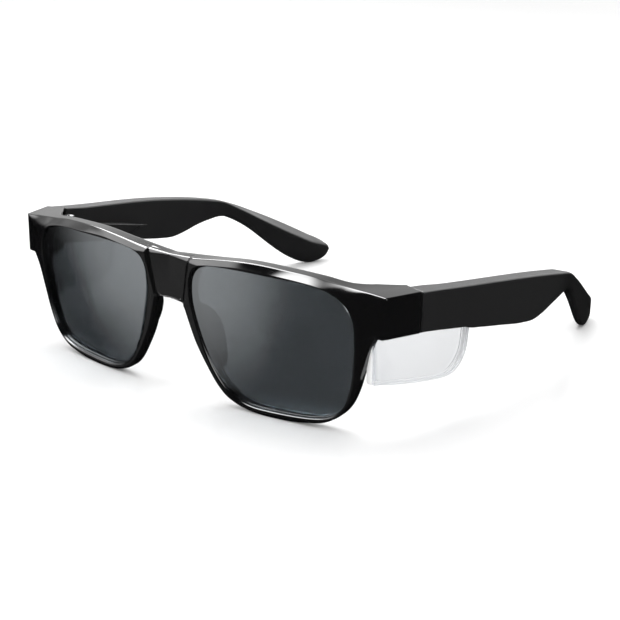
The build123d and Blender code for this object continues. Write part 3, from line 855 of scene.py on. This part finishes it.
# Outline seen from the side, (y, z), with the radius of each corner.
SHIELD_CORNERS = [(7.7, 30.9), (21.6, 30.9), (21.6, 34.2), (42, 31.8), (48.0, 27.6), (47.2, 12.8), (34, 13.2),
                  (10.3, 15.5)]
SHIELD_RADII = [0.5, 0.3, 0.5, 2, 1.0, 9.5, 30, 1.4]
SMALLEST_RADIUS = 0.15
# The bead round the edge: distance from the edge, half of the thickness there, and how many
# times wider the bead is on each side. The last side is the front rib.
BEAD_DEPTHS = [0.0, 0.08, 0.22, 0.9, 1.0, 1.12, 1.3]
BEAD_HALF_THICK = [0.75, 1.0, 1.15, 1.2, 1.1, 0.8, 0.75]
BEAD_WIDTHS = np.array([1.0, 0.8, 1.0, 1.0, 1.0, 1.0, 1.0, 2.3])
SHEET_RINGS = [0.85, 0.65, 0.45, 0.25, 0.05]


def shield_x(y, z):
    """Middle of the sheet at points seen from the side."""
    lower, upper = cubic(SHIELD_LOWER, y), cubic(SHIELD_UPPER, y)
    share = np.clip((z - SHIELD_LOWER_Z) / (SHIELD_UPPER_Z - SHIELD_LOWER_Z), -0.2, 1)
    return lower + share * (upper - lower)


def inset_polygon(corners, widths):
    """Moves each edge of a clockwise polygon inwards; edge k runs from corner k to the next."""
    corners = np.asarray(corners, float)
    edges = unit(np.roll(corners, -1, 0) - corners)
    normals = np.column_stack([edges[:, 1], -edges[:, 0]])
    moved = []
    for k in range(len(corners)):
        both_normals = np.array([normals[k - 1], normals[k]])
        shift = np.linalg.solve(both_normals, np.array([widths[k - 1], widths[k]]))
        moved.append(corners[k] + shift)
    return moved


def closed_outline(corners, radii, arc_points=10, side_points=9):
    """Closed ring with the same number of points for every polygon of as many corners."""
    count = len(corners)
    arcs = []
    for k in range(count):
        around = [(*corners[k - 1], 0), (*corners[k], radii[k]), (*corners[(k + 1) % count], 0)]
        arcs.append(rounded(around, arc_points)[1:-1])
    ring = []
    for k in range(count):
        ring.append(arcs[k])
        ring.append(along([arcs[k][-1], arcs[(k + 1) % count][0]], side_points + 2)[1:-1])
    return np.vstack(ring)


def shield_face(sign):
    """Rings of points over one face of the sheet, from its edge to its middle."""
    rings = []
    for depth, half in zip(BEAD_DEPTHS, BEAD_HALF_THICK):
        corners = inset_polygon(SHIELD_CORNERS, depth * BEAD_WIDTHS)
        outline = closed_outline(corners, [max(radius - depth, SMALLEST_RADIUS) for radius in SHIELD_RADII])
        rings.append((outline, half))
    centre = outline.mean(0)
    rings += [(centre + scale * (outline - centre), half) for scale in SHEET_RINGS]
    return [np.column_stack([shield_x(*yz.T) + sign * half, yz]) for yz, half in rings]


def side_shield(side_name, mirror):
    rows = np.array(shield_face(-1)[::-1] + shield_face(1))
    make_piece("shield_pane_" + side_name, rows.reshape(-1, 3), tube_faces(rows), "temple_arm_" + side_name,
               "shield_clear", "side_shield_" + side_name, mirror)


for side_name, mirror in SIDES:
    lens(side_name, mirror)
    temple(side_name, mirror)
    side_shield(side_name, mirror)


# ---- table, light and camera --------------------------------------------------------
TABLE_HALF = 3.0              # metres


def table():
    mesh = bpy.data.meshes.new("table")
    corners = [(x * TABLE_HALF, y * TABLE_HALF, 0) for x, y in ((-1, -1), (1, -1), (1, 1), (-1, 1))]
    mesh.from_pydata(corners, [], [(0, 1, 2, 3)])
    obj = bpy.data.objects.new("table", mesh)
    bpy.context.scene.collection.objects.link(obj)
    material, tree, output = new_material("pale_table")
    diffuse = node(tree, "ShaderNodeBsdfDiffuse", {"Color": opaque(TABLE_WHITE)})
    sheen = node(tree, "ShaderNodeBsdfGlossy", {"Color": (1, 1, 1, 1), "Roughness": 0.16})
    facing = node(tree, "ShaderNodeLayerWeight", {"Blend": 0.25})
    share = between(tree, facing.outputs["Fresnel"], 0.04, 0.09)
    shader = mix_shaders(tree, share, diffuse.outputs["BSDF"], sheen.outputs["BSDF"])
    tree.links.new(shader, output.inputs["Surface"])
    mesh.materials.append(material)
    obj.visible_glossy = False


def area_light(name, location, target, size, power):
    """Soft light for the table and the dull surfaces; glossy ones mirror the soft boxes instead."""
    data = bpy.data.lights.new(name, "AREA")
    data.shape = "RECTANGLE"
    data.size, data.size_y = size
    data.energy = power
    obj = bpy.data.objects.new(name, data)
    obj.visible_glossy = False
    obj.location = location
    obj.rotation_mode = "QUATERNION"
    obj.rotation_quaternion = (Vector(target) - Vector(location)).to_track_quat("-Z", "Y")
    bpy.context.scene.collection.objects.link(obj)


def heading(azimuth, elevation):
    """Direction towards azimuth (0 along +Y, 90 along +X) and elevation, in degrees."""
    azimuth, elevation = math.radians(azimuth), math.radians(elevation)
    level = math.cos(elevation)
    return (math.sin(azimuth) * level, math.cos(azimuth) * level, math.sin(elevation))


# What the glossy surfaces mirror: azimuth, elevation, full within, gone beyond (all degrees), strength.
SOFT_BOXES = [(-56, 14, 12, 38, 0.5), (-30, 20, 10, 30, 0.55), (-10, 14, 10, 21, 1.1), (-60, 42, 6, 15, 26.0),
              (-113, 62, 10, 24, 22.0), (-30, 60, 8, 22, 2.5), (-98, 25, 8, 26, 1.0), (-130, 27, 9, 22, 5.0),
              (20, 28, 12, 28, 2.0), (-135, -12, 6, 28, 0.30), (38, -17, 8, 22, 0.08), (132, 18, 8, 20, 9.0)]


def soft_box(tree, direction, azimuth, elevation, tight, wide, power):
    """Brightness of one soft box, seen in a direction."""
    towards = node(tree, "ShaderNodeVectorMath", {0: direction, 1: heading(azimuth, elevation)},
                   operation="DOT_PRODUCT").outputs["Value"]
    start, end = (math.cos(math.radians(angle)) for angle in (wide, tight))
    inputs = {"Value": towards, "From Min": start, "From Max": end, "To Min": 0.0, "To Max": power}
    return node(tree, "ShaderNodeMapRange", inputs, interpolation_type="SMOOTHSTEP").outputs["Result"]


def world():
    """Even white all round, except that glossy surfaces see only the soft boxes."""
    made = bpy.data.worlds.new("studio")
    bpy.context.scene.world = made
    made.use_nodes = True
    tree = made.node_tree
    tree.nodes.clear()
    output = tree.nodes.new("ShaderNodeOutputWorld")
    direction = node(tree, "ShaderNodeTexCoord").outputs["Generated"]
    glow = soft_box(tree, direction, *SOFT_BOXES[0])
    for box in SOFT_BOXES[1:]:
        glow = math_node(tree, "ADD", glow, soft_box(tree, direction, *box))
    glossy_ray = node(tree, "ShaderNodeLightPath").outputs["Is Glossy Ray"]
    strength = node(tree, "ShaderNodeMix", {"Factor": glossy_ray, "A": 1.0, "B": glow}).outputs["Result"]
    background = node(tree, "ShaderNodeBackground", {"Color": (1, 1, 1, 1), "Strength": strength})
    tree.links.new(background.outputs["Background"], output.inputs["Surface"])


CAMERA_PLACE = (0.2726, -0.3761, 0.1514)                 # metres
CAMERA_AZIMUTH, CAMERA_ELEVATION, CAMERA_ROLL = 36.65, 17.1, 1.83   # degrees
CAMERA_LENS, CAMERA_SENSOR = 80.1, 36                    # millimetres


def camera():
    azimuth, elevation, roll = map(math.radians, (CAMERA_AZIMUTH, CAMERA_ELEVATION, CAMERA_ROLL))
    back = Vector((math.sin(azimuth) * math.cos(elevation), -math.cos(azimuth) * math.cos(elevation),
                   math.sin(elevation)))
    level = Vector((math.cos(azimuth), math.sin(azimuth), 0))
    upright = back.cross(level)
    right = level * math.cos(roll) + upright * math.sin(roll)
    up = back.cross(right)
    data = bpy.data.cameras.new("camera")
    data.sensor_width = CAMERA_SENSOR
    data.lens = CAMERA_LENS
    data.clip_start = 0.01
    obj = bpy.data.objects.new("camera", data)
    turned = Matrix((right, up, back)).transposed().to_4x4()
    obj.matrix_world = Matrix.Translation(CAMERA_PLACE) @ turned
    bpy.context.scene.collection.objects.link(obj)
    bpy.context.scene.camera = obj


bpy.context.scene.view_settings.view_transform = "Standard"
table()
world()
area_light("key", (-0.3, 0.1, 1.0), (0, 0, 0), (0.8, 0.6), 5)
area_light("rear", (0.1, 0.9, 0.6), (0, 0, 0.02), (1.2, 0.5), 2)
camera()
